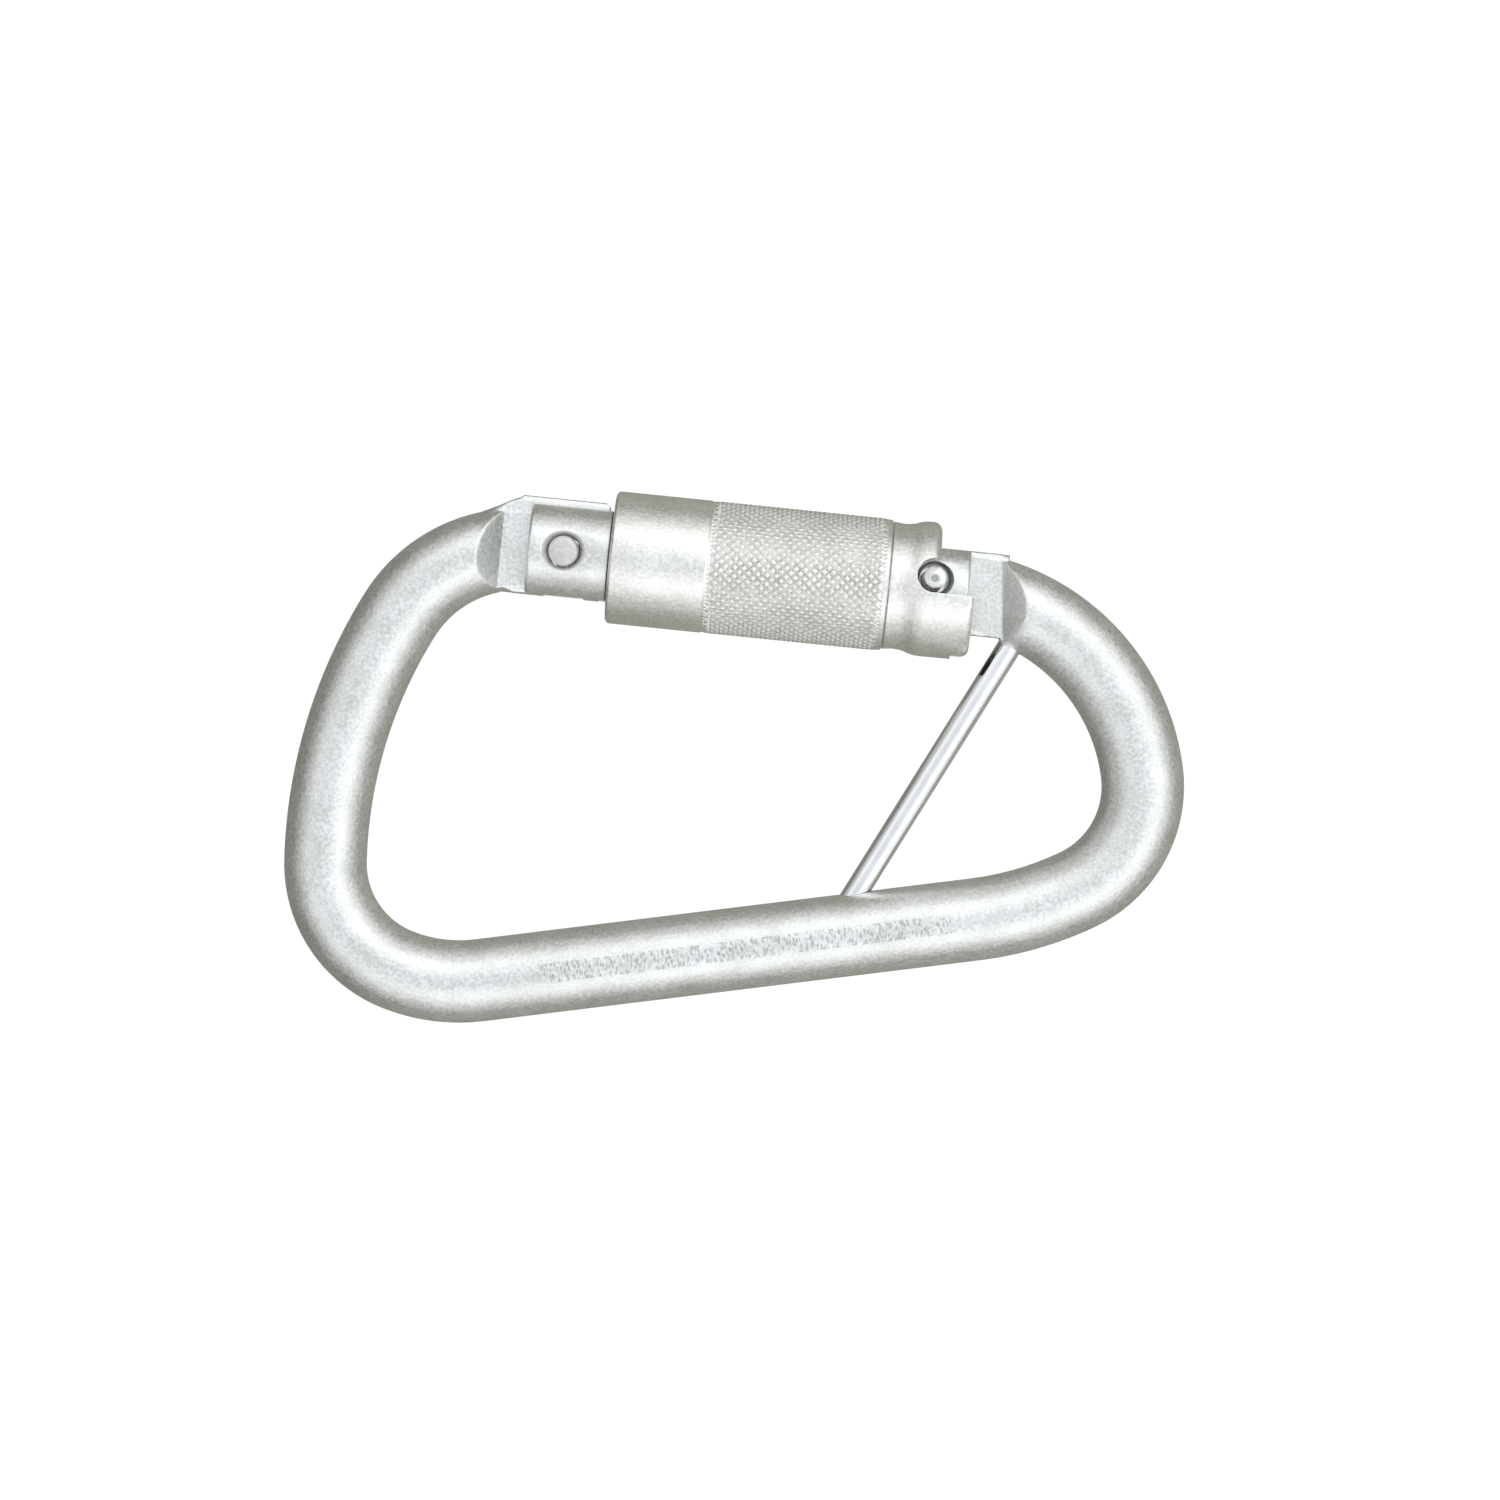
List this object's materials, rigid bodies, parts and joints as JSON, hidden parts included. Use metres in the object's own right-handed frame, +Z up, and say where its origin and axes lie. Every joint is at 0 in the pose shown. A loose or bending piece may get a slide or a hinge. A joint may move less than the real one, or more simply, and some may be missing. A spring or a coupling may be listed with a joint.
{
  "type": "locking carabiner",
  "caption": "Offset-D steel carabiner with a self-closing gate, an auto-locking knurled sleeve that is pushed and then twisted, and a captive pin across the narrow end.",
  "frame": {"origin": "bottom centre of the bounding box, with the carabiner lying flat", "axes": "+X along the length towards the narrow hinge end, +Y towards the gate side, +Z up, square to the plane of the bent bar"},
  "size_m": [0.1098, 0.0648, 0.0165],
  "materials": {
    "zinc_plated_steel": "satin zinc plate",
    "machined_steel": "turned",
    "polished_steel": "polished",
    "spring_steel": "drawn wire"
  },
  "bodies": {
    "root": {"body": "zinc_plated_steel", "captive_pin": "polished_steel"},
    "gate": {"gate_arm": "zinc_plated_steel", "latch_pin": "machined_steel", "hinge_rivet": "machined_steel", "retaining_ring": "spring_steel", "gate_spring": "spring_steel"},
    "plunger": {"gate_plunger": "machined_steel"},
    "sleeve_carrier": {"sleeve_spring": "spring_steel"},
    "sleeve": {"sleeve_barrel": "zinc_plated_steel", "cam_collar": "zinc_plated_steel"}
  },
  "joints": [
    {"name": "gate_pivot", "type": "hinge", "parent": "root", "child": "gate", "pos_m": [0.02429, 0.02164, 0.00823], "axis": [0, 0, 1], "range_deg": [0, 27], "stiffness_Nm_per_rad": 0.3, "springref_deg": -57.3},
    {"name": "plunger_slide", "type": "slide", "parent": "gate", "child": "plunger", "axis": [-0.9949, 0.1011, 0], "range_m": [0, 0.0012], "deforming": ["gate_spring"]},
    {"name": "sleeve_slide", "type": "slide", "parent": "gate", "child": "sleeve_carrier", "axis": [-0.9949, 0.1011, 0], "range_m": [0, 0.0026], "stiffness_N_per_m": 800, "springref_m": -0.006, "deforming": ["sleeve_spring"]},
    {"name": "sleeve_twist", "type": "hinge", "parent": "sleeve_carrier", "child": "sleeve", "pos_m": [-0.0206, 0.025, 0.00823], "axis": [0.9949, -0.1011, 0], "range_deg": [0, 110], "stiffness_Nm_per_rad": 0.015, "springref_deg": -85.94}
  ],
  "couplings": [
    {"joint": "plunger_slide", "follows": "gate_pivot", "m_per_rad": 0.0019}
  ]
}
